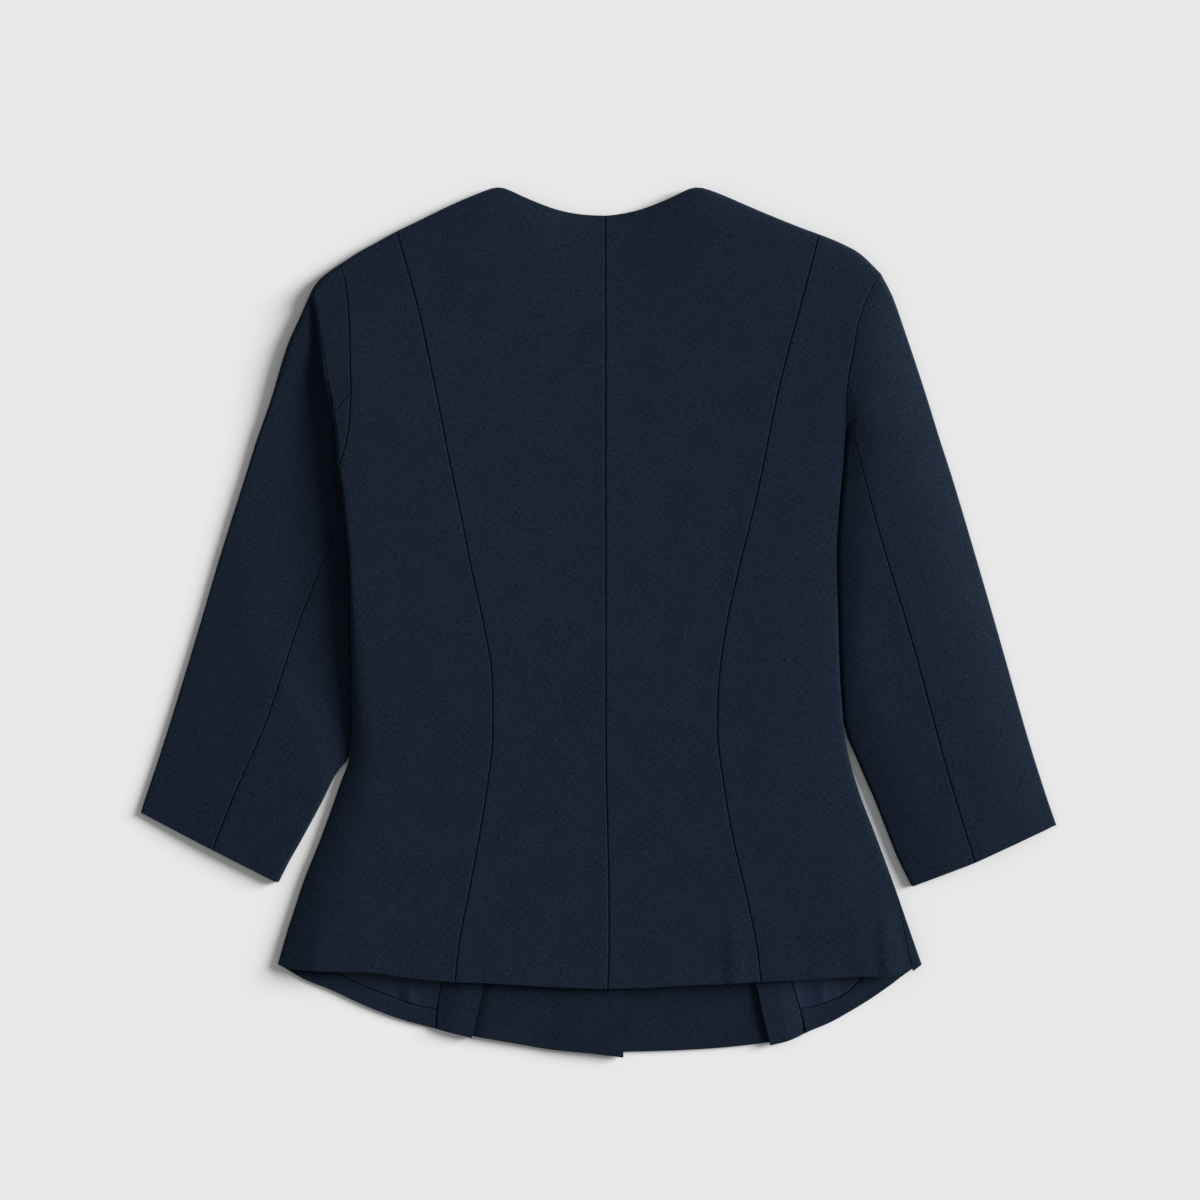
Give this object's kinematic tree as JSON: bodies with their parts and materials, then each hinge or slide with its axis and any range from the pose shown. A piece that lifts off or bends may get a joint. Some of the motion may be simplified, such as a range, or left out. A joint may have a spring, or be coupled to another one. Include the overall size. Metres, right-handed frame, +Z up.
{
  "type": "jacket",
  "caption": "Collarless tailored wool jacket with three-quarter sleeves, laid flat on its front with the back up.",
  "frame": {"origin": "middle of the jacket's plan on the surface that it lies on", "axes": "+X towards the wearer's right sleeve, +Y towards the neck, +Z up out of the back"},
  "size_m": [0.6862, 0.6517, 0.0085],
  "materials": {
    "wool": "fine matt navy wool weave",
    "satin": "smooth navy lining with a soft sheen"
  },
  "bodies": {
    "root": {"back_left": "wool", "side_back_left": "wool", "side_front_left": "wool", "front_left": "wool", "facing_left": "wool", "pleat_strip_left": "wool", "hem_band_left": "wool", "lining_left": "satin", "upper_sleeve_left": "wool", "under_sleeve_left": "wool", "back_right": "wool", "side_back_right": "wool", "side_front_right": "wool", "front_right": "wool", "facing_right": "wool", "pleat_strip_right": "wool", "hem_band_right": "wool", "lining_right": "satin", "upper_sleeve_right": "wool", "under_sleeve_right": "wool"}
  },
  "joints": []
}
